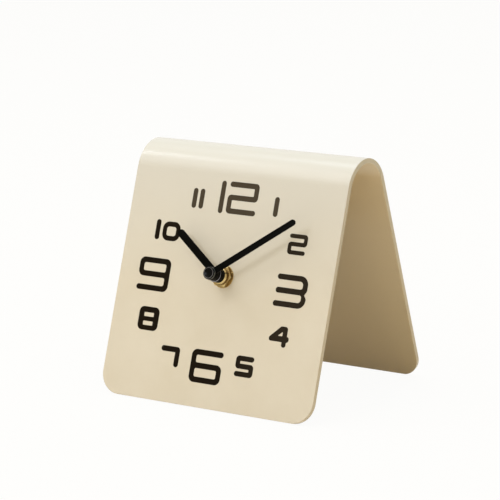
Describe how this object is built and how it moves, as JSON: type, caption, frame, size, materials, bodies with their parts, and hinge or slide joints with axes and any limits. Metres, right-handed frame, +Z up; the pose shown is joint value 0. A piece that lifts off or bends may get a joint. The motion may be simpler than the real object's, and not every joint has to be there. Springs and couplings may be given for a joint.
{
  "type": "desk clock",
  "caption": "Tent-shaped desk clock bent from one sheet, with a hidden battery movement, a bare nut on the dial and two plain black hands.",
  "frame": {"origin": "on the table, under the middle of the stand, at the bottom centre of the whole clock's box", "axes": "+X to the dial's right as seen from the front, +Y to the back, +Z up; the dial faces -Y and leans back"},
  "size_m": [0.12, 0.1044, 0.1169],
  "materials": {
    "cream_coat": "satin powder coat",
    "black_rubber": "matte",
    "brass": "machined, satin",
    "case_plastic": "fine moulded texture",
    "knob_plastic": "moulded, satin",
    "gear_plastic": "moulded acetal",
    "steel": "bright",
    "contact_plate": "nickel plated",
    "magnet": "ground",
    "copper_wire": "enamelled",
    "board": "satin",
    "chip_resin": "gloss",
    "crystal_can": "bright",
    "cell_jacket": "printed film, bare of print",
    "hand_paint": "satin black",
    "cap_gloss": "gloss black"
  },
  "bodies": {
    "stand": {"stand_panel": "cream_coat", "panel_gasket": "black_rubber", "face_washer": "brass", "fixing_nut": "brass", "threaded_bush": "brass", "case_front": "case_plastic", "case_back": "case_plastic", "gear_bridge": "case_plastic", "bridge_screws": "steel", "stator": "steel", "coil_core": "steel", "coil_bobbin": "gear_plastic", "coil_winding": "copper_wire", "circuit_board": "board", "control_chip": "chip_resin", "quartz_crystal": "crystal_can", "contact_plus": "contact_plate", "contact_minus": "contact_plate"},
    "hour": {"hour_wheel": "gear_plastic", "hour_hand": "hand_paint"},
    "minute": {"minute_arbor": "gear_plastic", "minute_hand": "hand_paint", "cap_nut": "cap_gloss"},
    "motion": {"motion_wheel": "gear_plastic"},
    "knob": {"setting_knob": "knob_plastic"},
    "centre": {"centre_wheel": "gear_plastic"},
    "third": {"third_wheel": "gear_plastic"},
    "seconds": {"seconds_wheel": "gear_plastic", "seconds_arbor": "steel"},
    "intermediate": {"intermediate_wheel": "gear_plastic"},
    "rotor": {"rotor_pinion": "gear_plastic", "rotor_magnet": "magnet"},
    "battery": {"battery_cell": "cell_jacket"}
  },
  "joints": [
    {"name": "minute_spin", "type": "hinge", "parent": "stand", "child": "minute", "pos_m": [0, -0.0317, 0.06007], "axis": [0, -0.9455, 0.3256], "continuous": true},
    {"name": "hour_spin", "type": "hinge", "parent": "stand", "child": "hour", "pos_m": [0, -0.0317, 0.06007], "axis": [0, -0.9455, 0.3256], "continuous": true},
    {"name": "motion_spin", "type": "hinge", "parent": "stand", "child": "motion", "pos_m": [0.00773, -0.03238, 0.05812], "axis": [0, -0.9455, 0.3256], "continuous": true},
    {"name": "knob_spin", "type": "hinge", "parent": "stand", "child": "knob", "pos_m": [0.01578, -0.03308, 0.05608], "axis": [0, -0.9455, 0.3256], "continuous": true},
    {"name": "intermediate_spin", "type": "hinge", "parent": "stand", "child": "intermediate", "pos_m": [0.0054, -0.02866, 0.06892], "axis": [0, -0.9455, 0.3256], "continuous": true},
    {"name": "rotor_spin", "type": "hinge", "parent": "stand", "child": "rotor", "pos_m": [0.0089, -0.02668, 0.07465], "axis": [0, -0.9455, 0.3256], "continuous": true},
    {"name": "seconds_spin", "type": "hinge", "parent": "stand", "child": "seconds", "pos_m": [0, -0.0317, 0.06007], "axis": [0, -0.9455, 0.3256], "continuous": true},
    {"name": "third_spin", "type": "hinge", "parent": "stand", "child": "third", "pos_m": [-0.00935, -0.02994, 0.06518], "axis": [0, -0.9455, 0.3256], "continuous": true},
    {"name": "centre_spin", "type": "hinge", "parent": "stand", "child": "centre", "pos_m": [0, -0.0317, 0.06007], "axis": [0, -0.9455, 0.3256], "continuous": true},
    {"name": "battery_slide", "type": "slide", "parent": "stand", "child": "battery", "axis": [0, 0.9455, -0.3256], "range_m": [0, 0.025]}
  ],
  "couplings": [
    {"joint": "hour_spin", "follows": "minute_spin", "ratio": 0.083333},
    {"joint": "motion_spin", "follows": "minute_spin", "ratio": -0.33333},
    {"joint": "knob_spin", "follows": "minute_spin", "ratio": 0.85714},
    {"joint": "rotor_spin", "follows": "intermediate_spin", "ratio": -6},
    {"joint": "seconds_spin", "follows": "intermediate_spin", "ratio": -0.2},
    {"joint": "third_spin", "follows": "intermediate_spin", "ratio": 0.026667},
    {"joint": "centre_spin", "follows": "intermediate_spin", "ratio": -0.0033333}
  ]
}
